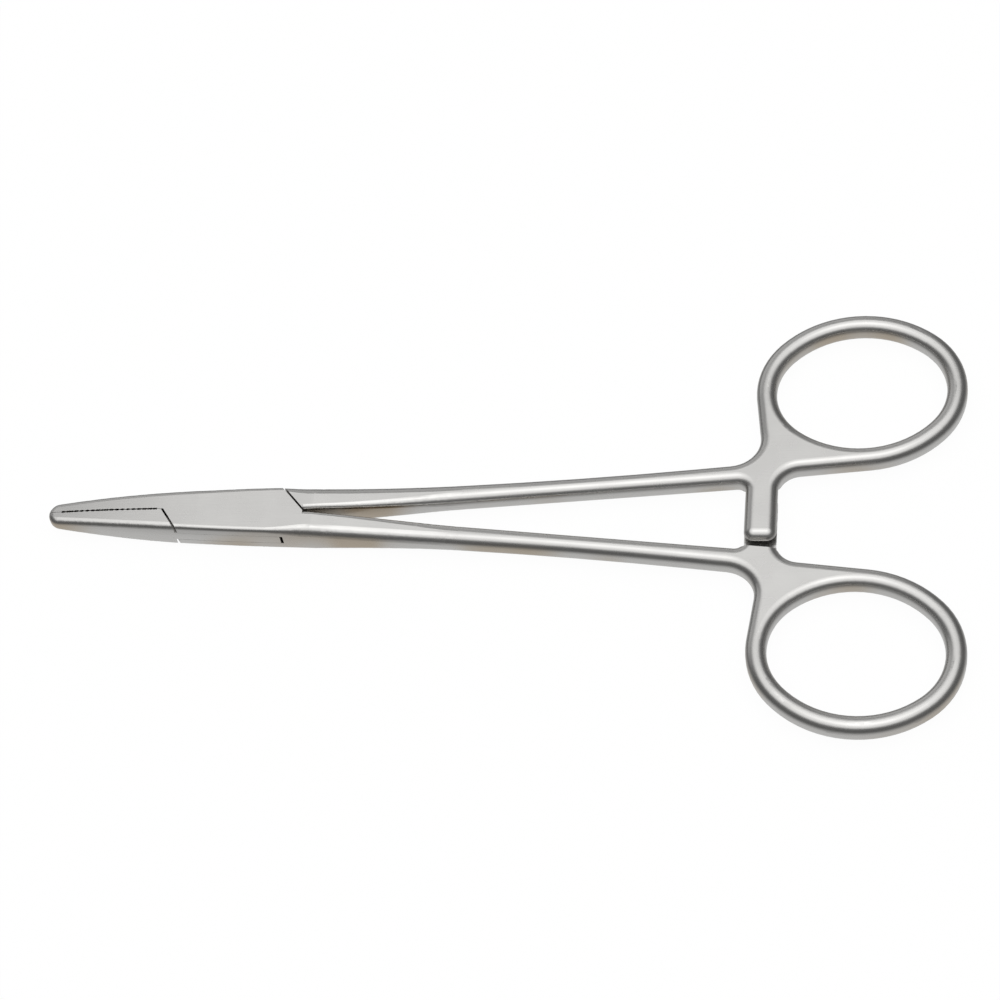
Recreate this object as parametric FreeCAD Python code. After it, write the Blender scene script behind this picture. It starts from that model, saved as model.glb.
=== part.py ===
"""A ring-handled surgical needle holder with a box lock, closed, lying flat.

Three pieces, in millimetres. The jaws point along -X and part in Y, the finger rings lie towards +X.
The origin is on the pivot axis, in the flat underside of the box lock, and +Z is up.
box_half    upper jaw (+Y), the slotted box and the lower shank (-Y), with its ratchet arm underneath
tongue_half lower jaw (-Y), the tongue that runs through the slot and the upper shank (+Y), its arm on top
pivot_pin   the rivet through both cheeks and the tongue, its flared ends ground flush
"""

import FreeCAD
import Part
from FreeCAD import Vector

import math
import os

# Overall reach from the pivot axis
jaw_reach = 29.0
ring_centre_x = 96.4
ring_centre_y = 23.4

# How far cutting tools reach past the metal
outside = 2.0

# Thickness across the instrument (Z)
box_thickness = 5.0
tip_thickness = 2.3
shank_thickness = 3.7
mid_z = box_thickness / 2

# Outline of the jaws and the box, as distances from the long axis
nose_radius = 1.84
box_half_width = 4.08
flank_join_x = 6.0
flank_join_slope = 0.024
notch_x = 11.3

# Side view, where the flat of the box ends and the shanks become level
flat_front_x = -5.0
flat_rear_x = 13.0
shank_level_x = 36.0

# Shanks, as distances of their outer and inner edges from the long axis
shank_end = (71.0, 8.42)
inner_start_y = 0.20
inner_slim = (29.4, 1.52)
inner_end = (77.0, 5.75)
shoulder_radius = 5.0

# Finger rings: an oval bar, its long axis a little splayed
ring_long_radius = 14.65
ring_short_radius = 12.55
ring_end_radius = 11.2
ring_bar_width = 3.1
ring_splay_deg = 4.8
ring_root_lean = 0.12
web_slope = 0.11
web_radius = 3.6

# Box lock
front_shoulder_x = 10.4
front_shoulder_slope = 0.68
rear_shoulder_slope = 0.86
shoulder_gap = 0.40
tongue_thickness = 1.70
tongue_radius = 9.10
window_gap = 0.40
slot_clearance = 0.03
jaw_gap = 0.03

# Pivot pin
pin_radius = 1.40
pin_flare = 0.30
pin_running_clearance = 0.04

# Ratchet
arm_left_x = 79.2
arm_right_x = 84.15
arm_overlap = 4.3
arm_step_inset = 0.10
arm_corner_radius = 1.3
arm_foot_radius = 1.5
tooth_count = 3
tooth_pitch = 1.6
tooth_height = 0.55
crest_clearance = 0.02
crest_share = 0.16
tooth_back_lean = 0.08
arm_step_radius = 1.5

# Serrations of the jaw faces
serration_pitch = 0.62
serration_depth = 0.16
serration_margin = 2.2
serration_end_x = -11.4
serration_crest_drop = 0.01
centre_groove_start_x = -24.0
centre_groove_end_x = -12.2
centre_groove_width = 0.5
centre_groove_depth = 0.30

# Rounded edges
nose_edge_radius = 0.95
box_edge_radius = 0.70
shank_edge_radius = 1.50
ring_edge_radius = 1.50


def line(p, q):
    return Part.LineSegment(p, q).toShape()


def tangent_arc(start, along, end):
    """The arc that leaves start in a given direction and arrives at end."""
    chord = end - start
    turn = math.atan2(along.x * chord.y - along.y * chord.x, along.dot(chord))
    reach = chord.Length / (2 * math.cos(turn / 2))
    heading = math.atan2(along.y, along.x) + turn / 2
    middle = start + Vector(math.cos(heading), math.sin(heading), 0) * reach
    return Part.Arc(start, middle, end).toShape()


def crossing(p, along_p, q, along_q):
    """Where two lines in the plan cross."""
    between = q - p
    share = (between.x * along_q.y - between.y * along_q.x) / (along_p.x * along_q.y - along_p.y * along_q.x)
    return p + along_p * share


class Flank:
    """The outer edge of a half: the nose, an arc along jaw and box, and a hollow arc along the shank."""

    def __init__(self):
        self.join = Vector(flank_join_x, box_half_width, 0)
        along = Vector(1, flank_join_slope, 0)
        along.normalize()
        outward = Vector(-along.y, along.x, 0)
        self.nose_centre = Vector(-jaw_reach + nose_radius, 0, 0)
        to_nose = self.nose_centre - self.join
        self.jaw_radius = (to_nose.Length**2 - nose_radius**2) / (2 * (to_nose.dot(-outward) - nose_radius))
        self.jaw_centre = self.join - outward * self.jaw_radius
        self.end = Vector(*shank_end, 0)
        to_end = self.end - self.join
        self.shank_radius = to_end.Length**2 / (2 * to_end.dot(outward))
        self.shank_centre = self.join + outward * self.shank_radius
        away = self.nose_centre - self.jaw_centre
        away.normalize()
        self.nose_end = self.nose_centre + away * nose_radius

    def point(self, x, side=1):
        if x <= flank_join_x:
            y = self.jaw_centre.y + math.sqrt(self.jaw_radius**2 - (x - self.jaw_centre.x) ** 2)
        else:
            y = self.shank_centre.y - math.sqrt(self.shank_radius**2 - (x - self.shank_centre.x) ** 2)
        return Vector(x, side * y, 0)

    def edges(self, x_from, x_to, side=1):
        stops = [x_from, flank_join_x, x_to]
        return [
            Part.Arc(self.point(a, side), self.point((a + b) / 2, side), self.point(b, side)).toShape()
            for a, b in zip(stops, stops[1:])
        ]

    def end_direction(self):
        radial = self.shank_centre - self.end
        return Vector(radial.y, -radial.x, 0)

    def nose_edge(self):
        """From the tip round to the lower flank."""
        tip = Vector(-jaw_reach, 0, 0)
        turn = math.pi - math.atan2(self.nose_end.y, self.nose_end.x - self.nose_centre.x)
        middle = self.nose_centre - Vector(math.cos(turn / 2), math.sin(turn / 2), 0) * nose_radius
        return Part.Arc(tip, middle, Vector(self.nose_end.x, -self.nose_end.y, 0)).toShape()


class Oval:
    """A finger ring's oval of four tangent arcs, offset from the bar's centre line."""

    def __init__(self, offset):
        rise = ring_long_radius**2 - 2 * ring_long_radius * ring_end_radius + ring_short_radius**2
        self.flank_radius = rise / (2 * (ring_short_radius - ring_end_radius))
        self.end_shift = ring_long_radius - ring_end_radius
        self.flank_shift = self.flank_radius - ring_short_radius
        self.join_deg = math.degrees(math.atan2(self.flank_shift, self.end_shift))
        self.offset = offset

    def point(self, facing_deg):
        """The point whose outward normal faces that way, counted from the oval's long axis."""
        facing = math.radians(facing_deg)
        if abs(math.cos(facing)) >= math.cos(math.radians(self.join_deg)) - 1e-9:
            radius = ring_end_radius + self.offset
            u = math.copysign(self.end_shift, math.cos(facing)) + radius * math.cos(facing)
            v = radius * math.sin(facing)
        else:
            radius = self.flank_radius + self.offset
            u = radius * math.cos(facing)
            v = radius * math.sin(facing) - math.copysign(self.flank_shift, math.sin(facing))
        splay = math.radians(ring_splay_deg)
        x = ring_centre_x + u * math.cos(splay) - v * math.sin(splay)
        y = ring_centre_y + u * math.sin(splay) + v * math.cos(splay)
        return Vector(x, y, 0)

    def edges(self, start_deg, end_deg):
        """Arcs from one facing to another, joined where the radius changes and at the quarter points."""
        joins = []
        for half_turn in (-180, 0, 180, 360):
            joins += [half_turn, half_turn + 90, half_turn + self.join_deg, half_turn + 180 - self.join_deg]
        stops = [start_deg] + sorted(join for join in joins if start_deg < join < end_deg) + [end_deg]
        return [
            Part.Arc(self.point(a), self.point((a + b) / 2), self.point(b)).toShape()
            for a, b in zip(stops, stops[1:])
        ]


def plan_prism():
    """The tongue half seen from above, drawn through the whole thickness, its corners rounded."""
    flank = Flank()
    cut_x = notch_x + 0.2
    tip = Vector(-jaw_reach, 0, 0)
    bite_end = Vector(-cut_x, 0, 0)
    notch = Vector(cut_x, inner_start_y, 0)
    slim = Vector(*inner_slim, 0)
    inner_along = Vector(*inner_end, 0) - slim

    ring = Oval(ring_bar_width / 2)
    opening = Oval(-ring_bar_width / 2)
    root_along = Vector(-ring_root_lean, 1, 0)
    web_along = Vector(1, web_slope, 0)
    root_facing = 180 + math.degrees(math.atan(ring_root_lean)) - ring_splay_deg
    web_facing = -90 + math.degrees(math.atan(web_slope)) - ring_splay_deg
    root_touch = ring.point(root_facing)
    web_touch = ring.point(web_facing)

    up = Vector(0, 1, 0)
    shoulder_corner = crossing(flank.end, flank.end_direction(), root_touch, root_along)
    web_corner = crossing(Vector(arm_right_x, 0, 0), up, web_touch, web_along)
    arm_corner = crossing(slim, inner_along, Vector(arm_left_x, 0, 0), up)
    foot_left = Vector(arm_left_x, -arm_overlap, 0)
    foot_right = Vector(arm_right_x, -arm_overlap, 0)
    edges = [
        flank.nose_edge(),
        *flank.edges(flank.nose_end.x, cut_x, -1),
        line(flank.point(cut_x, -1), notch),
        tangent_arc(slim, -inner_along, notch),
        line(slim, arm_corner),
        line(arm_corner, foot_left),
        line(foot_left, foot_right),
        line(foot_right, web_corner),
        line(web_corner, web_touch),
        *ring.edges(web_facing, root_facing),
        line(root_touch, shoulder_corner),
        line(shoulder_corner, flank.end),
        *flank.edges(-cut_x, flank.end.x),
        line(flank.point(-cut_x), bite_end),
        line(bite_end, tip),
    ]
    outline = Part.Face(Part.Wire(Part.__sortEdges__(edges)))
    hole = Part.Face(Part.Wire(opening.edges(0, 360)))
    prism = outline.cut(hole).extrude(Vector(0, 0, box_thickness))
    for corner, radius in (
        (shoulder_corner, shoulder_radius),
        (web_corner, web_radius),
        (arm_corner, arm_corner_radius),
        (foot_left, arm_foot_radius),
        (foot_right, arm_foot_radius),
    ):
        upright = [
            edge
            for edge in prism.Edges
            if all(math.hypot(v.X - corner.x, v.Y - corner.y) < 1e-4 for v in edge.Vertexes)
        ]
        prism = prism.makeFillet(radius, upright)
    return prism


def side_profile():
    """The instrument seen from the side: the box flat, the jaws and the shanks falling away in arcs."""
    half_box = box_thickness / 2
    half_shank = shank_thickness / 2
    half_tip = tip_thickness / 2
    jaw_fall_end = Vector(-jaw_reach, 0, half_tip)
    flat_front = Vector(flat_front_x, 0, half_box)
    flat_rear = Vector(flat_rear_x, 0, half_box)
    shank_level = Vector(shank_level_x, 0, half_shank)
    far = ring_centre_x + ring_long_radius + ring_bar_width + outside

    def fall(start, end, shift):
        """An arc that leaves start level and drops to end; shift turns it over for the underside."""
        run = end.x - start.x
        drop = start.z - end.z
        radius = (run**2 + drop**2) / (2 * drop)
        turn = math.atan2(abs(run), radius - drop) / 2
        middle_x = start.x + math.copysign(radius * math.sin(turn), run)
        middle_z = start.z - radius * (1 - math.cos(turn))
        points = [start, Vector(middle_x, 0, middle_z), end]
        return [Vector(p.x, 0, mid_z + shift * p.z) for p in points]

    edges = []
    front_ends = []
    rear_ends = []
    for shift in (1, -1):
        front = fall(flat_front, jaw_fall_end, shift)
        before_tip = front[2] - Vector(outside, 0, 0)
        edges.append(Part.Arc(*front).toShape())
        edges.append(line(front[2], before_tip))
        front_ends.append(before_tip)
        rear_level = Vector(shank_level.x, 0, -shank_level.z)
        rear = fall(rear_level, Vector(flat_rear.x, 0, -flat_rear.z), -shift)
        past_rings = Vector(far, 0, rear[0].z)
        edges.append(Part.Arc(*rear).toShape())
        edges.append(line(front[0], rear[2]))
        edges.append(line(rear[0], past_rings))
        rear_ends.append(past_rings)
    edges.append(line(*front_ends))
    edges.append(line(*rear_ends))
    outline = Part.Wire(Part.__sortEdges__(edges))
    width = ring_centre_y + ring_short_radius + ring_bar_width + outside
    profile = Part.Face(outline).extrude(Vector(0, 2 * width, 0))
    profile.translate(Vector(0, -width, 0))
    return profile


def edge_radius(at):
    """The rounding of the edges: small at the box, larger at the nose, the shanks and the rings."""
    if at.x < flat_front_x:
        share = (flat_front_x - at.x) / (jaw_reach + flat_front_x)
        return box_edge_radius + min(1.0, share) * (nose_edge_radius - box_edge_radius)
    from_ring = math.hypot(at.x - ring_centre_x, at.y - ring_centre_y)
    if from_ring < ring_long_radius + ring_bar_width:
        return ring_edge_radius
    share = min(1.0, max(0.0, (at.x - flat_rear_x) / (shank_level_x - flat_rear_x)))
    return box_edge_radius + share * (shank_edge_radius - box_edge_radius)


def rounded(solid):
    """The forging with its long edges rounded; the biting face and the plan's upright edges stay crisp."""
    rows = []
    for number, edge in enumerate(solid.Edges, start=1):
        start = edge.valueAt(edge.FirstParameter)
        end = edge.valueAt(edge.LastParameter)
        middle = edge.valueAt((edge.FirstParameter + edge.LastParameter) / 2)
        is_upright = abs(middle.z - mid_z) < tip_thickness / 4
        runs_across = abs(start.x - end.x) < 1e-4 and abs(start.y - end.y) > 0.1
        is_seam = runs_across and middle.x < shank_level_x + 1
        is_bite = abs(middle.y) < 1e-4 and middle.x < 0
        if not (is_upright or is_seam or is_bite):
            rows.append((number, edge_radius(start), edge_radius(end)))
    document = FreeCAD.newDocument("rounding")
    source = document.addObject("Part::Feature", "source")
    source.Shape = solid
    fillet = document.addObject("Part::Fillet", "fillet")
    fillet.Base = source
    fillet.Edges = rows
    document.recompute()
    shape = fillet.Shape.copy()
    FreeCAD.closeDocument(document.Name)
    return shape


def forging():
    """The tongue half before its lock is cut. The box half starts as its mirror image."""
    return rounded(plan_prism().common(side_profile()))


def slab(points, low, high):
    """A flat prism over a polygon of the plan, from one height to another."""
    corners = [Vector(x, y, low) for x, y in points]
    outline = Part.makePolygon(corners + corners[:1])
    return Part.Face(outline).extrude(Vector(0, 0, high - low))


def block(x_range, y_range, z_range):
    """A block between two values on each axis."""
    low = Vector(x_range[0], y_range[0], z_range[0])
    size = Vector(x_range[1], y_range[1], z_range[1]) - low
    return Part.makeBox(size.x, size.y, size.z, low)


def disc(radius, z_range):
    return Part.makeCylinder(radius, z_range[1] - z_range[0], Vector(0, 0, z_range[0]))


def front_shoulder(y, gap=0.0):
    """X of the box's front edge at y, or of the jaw's shoulder a gap ahead of it."""
    return -front_shoulder_x - front_shoulder_slope * y - gap


def rear_shoulder(y, gap=0.0):
    """X of the box's rear edge at y, or of the shank's shoulder a gap behind it."""
    return notch_x - rear_shoulder_slope * y + gap


def cut_tongue(solid):
    """Thins the middle to the tongue, leaving the jaw's and the shank's shoulders."""
    side = box_half_width + outside
    front = -notch_x - outside
    rear = notch_x + outside
    cleared = [
        (front_shoulder(-side, shoulder_gap), -side),
        (front_shoulder(-jaw_gap, shoulder_gap), -jaw_gap),
        (front, -jaw_gap),
        (front, side),
        (rear_shoulder(side, shoulder_gap), side),
        (rear_shoulder(inner_start_y, shoulder_gap), inner_start_y),
        (rear, inner_start_y),
        (rear, -side),
    ]
    through = (-outside, box_thickness + outside)
    tongue = (mid_z - tongue_thickness / 2, mid_z + tongue_thickness / 2)
    round_end = disc(tongue_radius, tongue)
    tools = [
        slab(cleared, through[0], tongue[0]),
        slab(cleared, tongue[1], through[1]),
        block((front, 0), (-jaw_gap, side), tongue).cut(round_end),
        block((0, rear), (-side, inner_start_y), tongue).cut(round_end),
        block((-jaw_reach - outside, -front_shoulder_x), (-jaw_gap, outside), through),
        disc(pin_radius + pin_running_clearance, through),
    ]
    return solid.cut(tools)


def cut_box(solid):
    """Opens the slot for the tongue and trims both cheeks to their slanted shoulders."""
    side = box_half_width + outside
    rear = shank_level_x
    cleared_front = [
        (front_shoulder(-side), -side),
        (front_shoulder(0), 0),
        (front_shoulder(0), jaw_gap),
        (-jaw_reach - outside, jaw_gap),
        (-jaw_reach - outside, -side),
    ]
    cleared_rear = [
        (rear_shoulder(side), side),
        (rear_shoulder(-inner_start_y), -inner_start_y),
        (rear, -inner_start_y),
        (rear, side),
    ]
    through = (-outside, box_thickness + outside)
    half_slot = tongue_thickness / 2 + slot_clearance
    slot = (mid_z - half_slot, mid_z + half_slot)
    tools = [
        slab(cleared_front, *through),
        slab(cleared_rear, *through),
        disc(tongue_radius + window_gap, slot),
        block((-jaw_reach, 0), (-side, jaw_gap), slot),
        block((0, rear), (-inner_start_y, side), slot),
        pivot_pin(),
    ]
    return solid.cut(tools)


def ratchet_cuts():
    """What is taken from under the tongue half's arm: the tooth gaps and the step along the shank."""
    crest = mid_z + crest_clearance
    root = crest + tooth_height
    first = -tooth_pitch * tooth_count / 2
    past_arm = -arm_overlap - outside
    toothed = [(past_arm, -outside), (past_arm, root), (first, root)]
    for tooth in range(tooth_count):
        end = first + (tooth + 1) * tooth_pitch
        toothed.append((end - tooth_pitch * crest_share, crest))
        toothed.append((end - tooth_back_lean, crest))
        toothed.append((end, root))
    toothed.append((end, -outside))
    left = arm_left_x - 2 * arm_corner_radius
    width = arm_right_x + web_radius - left
    corners = [Vector(left, y, z) for y, z in toothed]
    teeth = Part.Face(Part.makePolygon(corners + corners[:1])).extrude(Vector(width, 0, 0))

    slim = Vector(*inner_slim, 0)
    shank_along = Vector(*inner_end, 0) - slim
    wall_y = crossing(slim, shank_along, Vector(left, 0, 0), Vector(0, 1, 0)).y - arm_step_inset
    slant = arm_step_radius * math.sqrt(0.5)
    hollow = wall_y - arm_step_radius
    low_end = Vector(left, end - shank_along.y / shank_along.x * width, root)
    hollow_start = Vector(left, hollow, root)
    hollow_middle = Vector(left, hollow + slant, root - arm_step_radius + slant)
    hollow_end = Vector(left, wall_y, root - arm_step_radius)
    wall_foot = Vector(left, wall_y, -outside)
    low_foot = Vector(left, low_end.y, -outside)
    outline = [
        line(low_end, hollow_start),
        Part.Arc(hollow_start, hollow_middle, hollow_end).toShape(),
        line(hollow_end, wall_foot),
        line(wall_foot, low_foot),
        line(low_foot, low_end),
    ]
    step = Part.Face(Part.Wire(outline)).extrude(shank_along * (width / shank_along.x))
    tooth_zone = block((left, left + width), (past_arm, end), (-outside, box_thickness))
    return [teeth, step.cut(tooth_zone)]


def serration_cuts():
    """What is taken from the tongue half's biting face: crossed V-grooves and the groove along it."""
    start_x = -jaw_reach + serration_margin
    length = serration_end_x - start_x
    centre = Vector(start_x + length / 2, 0, mid_z)
    through = (-outside, box_thickness + outside)
    zone = block((start_x, serration_end_x), (-outside, outside), through)
    crest = -jaw_gap - serration_crest_drop
    root = -jaw_gap - serration_depth
    reach = (length + box_thickness) / math.sqrt(2)
    count = math.ceil(reach / serration_pitch) + 1
    cuts = []
    for tilt in (1, -1):
        run = Vector(1, 0, tilt) / math.sqrt(2)
        across = Vector(1, 0, -tilt) / math.sqrt(2)
        first = centre - run * reach - across * (count * serration_pitch / 2)
        last = first + across * (count * serration_pitch)
        points = []
        for groove in range(count):
            ridge = first + across * (groove * serration_pitch)
            valley = ridge + across * (serration_pitch / 2)
            points.append(Vector(ridge.x, crest, ridge.z))
            points.append(Vector(valley.x, root, valley.z))
        points.append(Vector(last.x, crest, last.z))
        points.append(Vector(last.x, outside, last.z))
        points.append(Vector(first.x, outside, first.z))
        outline = Part.makePolygon(points + points[:1])
        cuts.append(Part.Face(outline).extrude(run * (2 * reach)).common(zone))
    along = (centre_groove_start_x, centre_groove_end_x)
    depth = (-jaw_gap - centre_groove_depth, outside)
    width = (mid_z - centre_groove_width / 2, mid_z + centre_groove_width / 2)
    cuts.append(block(along, depth, width))
    return cuts


def cut_in_turn(solid, cuts):
    for cut in cuts:
        solid = solid.cut(cut)
    return solid


def pivot_pin():
    """The rivet: a plain shank whose ends fill the countersinks flush with the cheeks."""
    head = pin_radius + pin_flare
    profile = Part.makePolygon(
        [
            Vector(0, 0, 0),
            Vector(head, 0, 0),
            Vector(pin_radius, 0, pin_flare),
            Vector(pin_radius, 0, box_thickness - pin_flare),
            Vector(head, 0, box_thickness),
            Vector(0, 0, box_thickness),
            Vector(0, 0, 0),
        ]
    )
    return Part.Face(profile).revolve(Vector(0, 0, 0), Vector(0, 0, 1), 360)


def mirrored(solid):
    return solid.mirror(Vector(0, 0, 0), Vector(0, 1, 0))


def save(shape, name):
    solids = shape.Solids
    body = solids[0]
    print(name, len(solids), "solid", body.isValid(), round(body.Volume, 1), "mm3", len(body.Faces), "faces")
    body.exportStep("parts/" + name + ".step")


os.makedirs("parts", exist_ok=True)
forged = forging()
under_arm_cuts = ratchet_cuts()
biting_cuts = serration_cuts()
tongue_half = cut_in_turn(cut_tongue(forged), under_arm_cuts + biting_cuts)

over_arm_cuts = [cut.rotated(Vector(0, 0, mid_z), Vector(1, 0, 0), 180) for cut in under_arm_cuts]
upper_biting_cuts = [mirrored(cut) for cut in biting_cuts]
box_half = cut_in_turn(cut_box(mirrored(forged)), over_arm_cuts + upper_biting_cuts)

save(tongue_half, "tongue_half")
save(box_half, "box_half")
save(pivot_pin(), "pivot_pin")
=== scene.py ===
import math
import bpy
from mathutils import Matrix, Vector

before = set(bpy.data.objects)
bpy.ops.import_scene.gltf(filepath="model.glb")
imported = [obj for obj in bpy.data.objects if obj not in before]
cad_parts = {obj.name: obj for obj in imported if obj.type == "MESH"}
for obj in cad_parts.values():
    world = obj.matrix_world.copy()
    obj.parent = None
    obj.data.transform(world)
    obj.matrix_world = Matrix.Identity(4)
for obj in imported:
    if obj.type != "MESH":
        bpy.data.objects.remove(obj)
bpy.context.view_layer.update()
mm = 0.001


def hexToLinear(code):
    values = [int(code[i:i + 2], 16) / 255 for i in (1, 3, 5)]
    linear = [v / 12.92 if v <= 0.04045 else ((v + 0.055) / 1.055) ** 2.4 for v in values]
    return (*linear, 1.0)


def gray(value):
    return (value, value, value, 1)


def addNode(tree, kind, settings=None, inputs=None):
    # inputs may hold plain values or the output socket of another node
    node = tree.nodes.new(kind)
    for name, value in (settings or {}).items():
        setattr(node, name, value)
    for name, value in (inputs or {}).items():
        if isinstance(value, bpy.types.NodeSocket):
            tree.links.new(value, node.inputs[name])
        else:
            node.inputs[name].default_value = value
    return node


def calculate(tree, operation, *values):
    return addNode(tree, "ShaderNodeMath", {"operation": operation}, dict(enumerate(values))).outputs[0]


def dotProduct(tree, first, second):
    node = addNode(tree, "ShaderNodeVectorMath", {"operation": "DOT_PRODUCT"}, {0: first, 1: second})
    return node.outputs["Value"]


def fade(tree, value, between, onto=(0.0, 1.0)):
    # eases from the first value of onto to the second while value crosses between
    return addNode(tree, "ShaderNodeMapRange", {"interpolation_type": "SMOOTHSTEP"}, {
        "Value": value, "From Min": between[0], "From Max": between[1],
        "To Min": onto[0], "To Max": onto[1]}).outputs[0]


def mixColors(tree, share, first, second, how="MIX"):
    return addNode(tree, "ShaderNodeMix", {"data_type": "RGBA", "blend_type": how}, {
        "Factor": share, 6: first, 7: second}).outputs[2]


def noise(tree, place, scale, grain):
    # grain is the pattern's detail and roughness
    return addNode(tree, "ShaderNodeTexNoise", inputs={
        "Vector": place, "Scale": scale, "Detail": grain[0], "Roughness": grain[1]}).outputs["Fac"]


def grayRamp(tree, value, stops):
    node = addNode(tree, "ShaderNodeValToRGB", inputs={"Fac": value})
    elements = node.color_ramp.elements
    elements.remove(elements[-1])
    elements[0].position, elements[0].color = stops[0][0], gray(stops[0][1])
    for position, level in stops[1:]:
        elements.new(position).color = gray(level)
    return node.outputs["Color"]


def newMaterial(name):
    material = bpy.data.materials.new(name)
    material.use_nodes = True
    tree = material.node_tree
    shader = tree.nodes["Principled BSDF"]
    return material, tree, shader


# satin stainless steel: forged, ground and brushed along its length, so reflections blur into soft bands
steel = {
    "color": "#CFCECC",
    "castColor": "#BBB0A0",  # a brown cast, left in places on the steep walls by heat treatment
    "castRange": (0.45, 0.75),
    "castSize": 14 * mm,
    "castGrain": (1.0, 0.5),
    "noseCast": (-20 * mm, -28 * mm),  # along X, it starts at the first and is full at the second
    "steepness": (0.75, 0.1),  # vertical part of the normal where a wall starts to count and fully does
    "paintedShadeColor": "#55524E",  # painted shade, darkening the joints, the gaps and between the teeth
    "paintedShadeDepth": 0.5 * mm,
    "paintedShadeRange": (0.25, 0.80),
    "paintedShadeSamples": 8,
    "roughness": (0.23, 0.30),
    "patchRange": (0.2, 0.8),
    "patchSize": 5 * mm,
    "patchGrain": (2.0, 0.5),
    "brushWidth": 0.22 * mm,  # real marks are about 0.05 mm wide, drawn coarser so that they show
    "brushLength": 4 * mm,
    "brushDepth": 0.004 * mm,
    "brushGrain": (2.0, 0.6),
}


def satinSteel():
    material, tree, shader = newMaterial("satinStainlessSteel")
    shader.inputs["Metallic"].default_value = 1.0
    place = addNode(tree, "ShaderNodeTexCoord").outputs["Object"]
    normal = addNode(tree, "ShaderNodeNewGeometry").outputs["Normal"]
    facing = addNode(tree, "ShaderNodeSeparateXYZ", inputs={"Vector": normal}).outputs["Z"]
    alongX = addNode(tree, "ShaderNodeSeparateXYZ", inputs={"Vector": place}).outputs["X"]

    steep = fade(tree, calculate(tree, "ABSOLUTE", facing), steel["steepness"])
    places = noise(tree, place, 1 / steel["castSize"], steel["castGrain"])
    tinted = fade(tree, places, steel["castRange"])
    nose = fade(tree, alongX, steel["noseCast"])
    cast = calculate(tree, "MULTIPLY", steep, calculate(tree, "MAXIMUM", tinted, nose))
    color = mixColors(tree, cast, hexToLinear(steel["color"]), hexToLinear(steel["castColor"]))

    # painted shade: the base colour is darkened where ambient occlusion finds the surface enclosed, in
    # the joints, the gaps and between the teeth
    openness = addNode(tree, "ShaderNodeAmbientOcclusion", {"samples": steel["paintedShadeSamples"]}, {
        "Distance": steel["paintedShadeDepth"]}).outputs["AO"]
    unshadedShare = fade(tree, openness, steel["paintedShadeRange"])
    shown = mixColors(tree, unshadedShare, hexToLinear(steel["paintedShadeColor"]), color)
    tree.links.new(shown, shader.inputs["Base Color"])

    patches = noise(tree, place, 1 / steel["patchSize"], steel["patchGrain"])
    gloss = fade(tree, patches, steel["patchRange"], steel["roughness"])
    tree.links.new(gloss, shader.inputs["Roughness"])

    stretched = addNode(tree, "ShaderNodeMapping", inputs={"Vector": place, "Scale": (
        1 / steel["brushLength"], 1 / steel["brushWidth"], 1 / steel["brushWidth"])}).outputs[0]
    marks = noise(tree, stretched, 1.0, steel["brushGrain"])
    bump = addNode(tree, "ShaderNodeBump", inputs={
        "Height": marks, "Distance": steel["brushDepth"], "Strength": 1.0})
    tree.links.new(bump.outputs[0], shader.inputs["Normal"])
    return material


def dress(names, material):
    for name in names:
        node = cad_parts[name]
        node.data.materials.clear()
        node.data.materials.append(material)


dress(["box_half", "tongue_half", "pivot_pin"], satinSteel())
print("steel done")

# the table is white card, under one round soft light, bright in the middle and dark at the horizon
studio = {
    "floorHeight": -0.3 * mm,
    "floorSize": 3.0,
    "floorColor": "#E8E8E7",
    "floorRoughness": 0.9,
    "floorWhiteness": 0.93,
    "floorGlow": 1.03,  # strength 1 is white
    # painted reflection: in the steel's reflections the table is a glow, bright close by and dimming up
    # to floorReach away, by the length of the reflected ray
    "paintedTableReflection": [(0.0, 0.80), (0.14, 0.72), (0.3, 0.42), (0.6, 0.16), (1.0, 0.10)],
    "floorReach": 25 * mm,
    "metalShare": 0.85,
    "lampTurn": 14.0,  # degrees, the camera's side
    "lampLean": 2.0,  # degrees from straight up, towards the camera
    "lampStops": [(0.0, 1.85), (0.12, 1.70), (0.25, 1.17), (0.41, 1.10), (0.46, 0.85),
                  (0.53, 0.50), (0.62, 0.17), (1.0, 0.12)],  # share of a right angle from its middle
    "lampStrength": 2.0,  # levels are divided by this, which keeps them under 1, and raised again
    "backWall": 0.55,  # the wall behind the table, grey between the lamp and the horizon
    "wallTurn": 29.0,  # degrees, it stands further to the left
    "wallRange": (0.45, 0.95),  # cosine of the angle from its middle, from its edge inwards
    "backdrop": 1.0,  # what the camera itself sees past the table
}


def layFloor():
    bpy.ops.object.select_all(action="DESELECT")
    bpy.ops.mesh.primitive_plane_add(size=studio["floorSize"], location=(0, 0, studio["floorHeight"]))
    floor = bpy.context.object
    floor.name = "floor"
    material, tree, shader = newMaterial("whiteCard")
    shader.inputs["Base Color"].default_value = hexToLinear(studio["floorColor"])
    shader.inputs["Roughness"].default_value = studio["floorRoughness"]
    rays = addNode(tree, "ShaderNodeLightPath").outputs
    seen = calculate(tree, "MULTIPLY", rays["Is Camera Ray"], studio["floorWhiteness"])
    # painted reflection: glossy rays see the table mostly as a glow that dims with the length of the
    # ray, and only partly as the lit card
    reflected = calculate(tree, "MULTIPLY", rays["Is Glossy Ray"], studio["metalShare"])
    reach = calculate(tree, "DIVIDE", rays["Ray Length"], studio["floorReach"])
    fall = grayRamp(tree, reach, studio["paintedTableReflection"])
    glow = addNode(tree, "ShaderNodeEmission", inputs={"Strength": studio["floorGlow"]})
    paintedReflectionGlow = addNode(tree, "ShaderNodeEmission", inputs={"Color": fall, "Strength": 1.0})
    inMetal = addNode(tree, "ShaderNodeMixShader", inputs={
        0: reflected, 1: shader.outputs[0], 2: paintedReflectionGlow.outputs[0]})
    blend = addNode(tree, "ShaderNodeMixShader", inputs={
        0: seen, 1: inMetal.outputs[0], 2: glow.outputs[0]})
    tree.links.new(blend.outputs[0], tree.nodes["Material Output"].inputs["Surface"])
    floor.data.materials.append(material)


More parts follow.
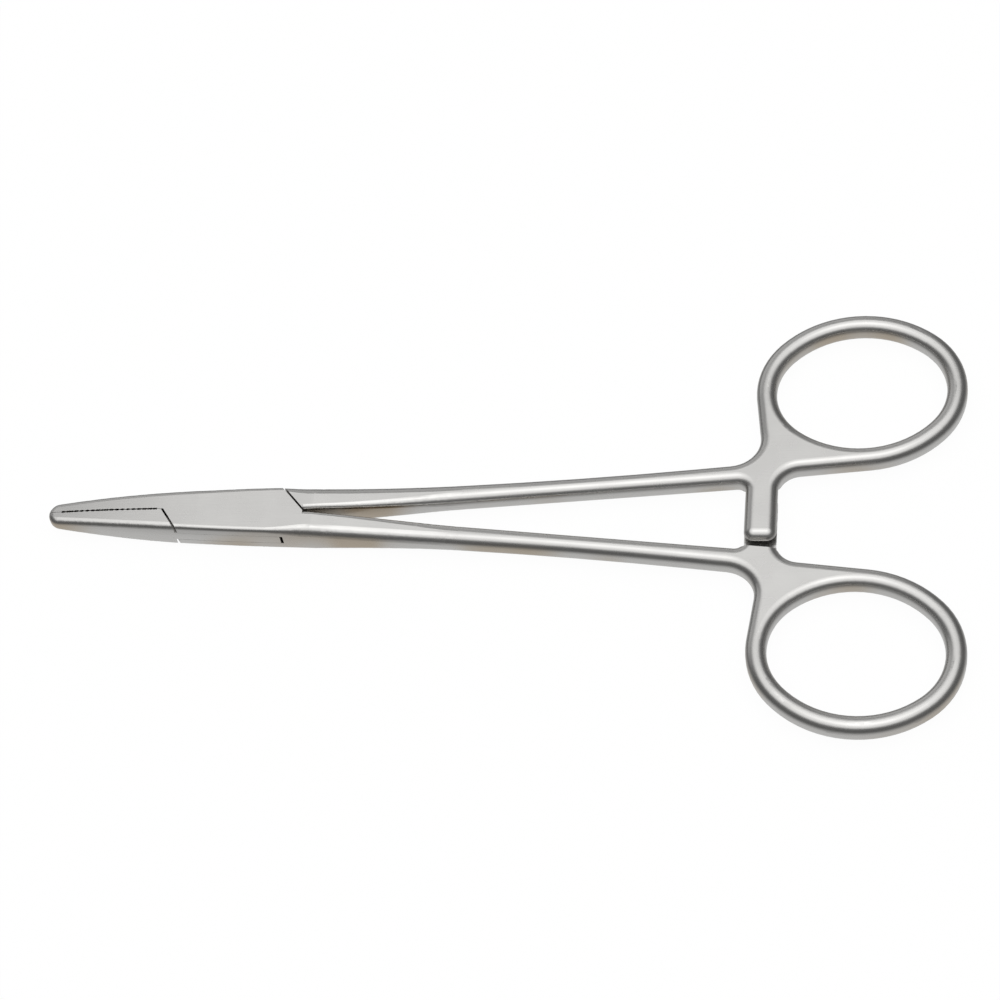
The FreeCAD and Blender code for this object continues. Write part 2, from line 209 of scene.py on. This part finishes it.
def hangLamp():
    world = bpy.data.worlds.new("softLamp")
    bpy.context.scene.world = world
    world.use_nodes = True
    tree = world.node_tree
    light = tree.nodes["Background"]
    strength = studio["lampStrength"]
    direction = addNode(tree, "ShaderNodeTexCoord").outputs["Generated"]

    turn, lean = math.radians(studio["lampTurn"]), math.radians(studio["lampLean"])
    middle = (math.sin(turn) * math.sin(lean), -math.cos(turn) * math.sin(lean), math.cos(lean))
    away = calculate(tree, "ARCCOSINE", dotProduct(tree, direction, middle))
    share = calculate(tree, "DIVIDE", away, math.pi / 2)
    lamp = grayRamp(tree, share, [(place, level / strength) for place, level in studio["lampStops"]])

    wallTurn = math.radians(studio["wallTurn"])
    behind = (-math.sin(wallTurn), math.cos(wallTurn), 0)
    wall = fade(tree, dotProduct(tree, direction, behind), studio["wallRange"],
                (0.0, studio["backWall"] / strength))

    around = mixColors(tree, 1.0, lamp, wall, "LIGHTEN")
    isCamera = addNode(tree, "ShaderNodeLightPath").outputs["Is Camera Ray"]
    seen = mixColors(tree, isCamera, around, gray(studio["backdrop"] / strength))
    tree.links.new(seen, light.inputs["Color"])
    light.inputs["Strength"].default_value = strength


# the camera looks down on the holder from a little to the right, rolled so that the jaws point left
camera = {
    "target": (46.42 * mm, 0, 2.5 * mm),
    "elevation": 56.0,
    "azimuth": 14.0,
    "roll": 11.5,
    "distance": 482.2 * mm,
    "lens": 113.8,
    "shift": (-0.0297, 0.0183),
    "clipStart": 10 * mm,
}


def placeCamera():
    rise, turn = math.radians(camera["elevation"]), math.radians(camera["azimuth"])
    back = Vector((math.sin(turn) * math.cos(rise), -math.cos(turn) * math.cos(rise), math.sin(rise)))
    right = Vector((math.cos(turn), math.sin(turn), 0))
    up = back.cross(right)
    data = bpy.data.cameras.new("camera")
    data.lens = camera["lens"]
    data.shift_x, data.shift_y = camera["shift"]
    data.clip_start = camera["clipStart"]
    view = bpy.data.objects.new("camera", data)
    bpy.context.collection.objects.link(view)
    axes = Matrix((right, up, back)).transposed().to_4x4()
    view.matrix_world = (Matrix.Translation(Vector(camera["target"]) + back * camera["distance"])
                         @ axes @ Matrix.Rotation(-math.radians(camera["roll"]), 4, "Z"))
    bpy.context.scene.camera = view


layFloor()
hangLamp()
placeCamera()
bpy.context.scene.view_settings.view_transform = "Standard"
print("studio done")
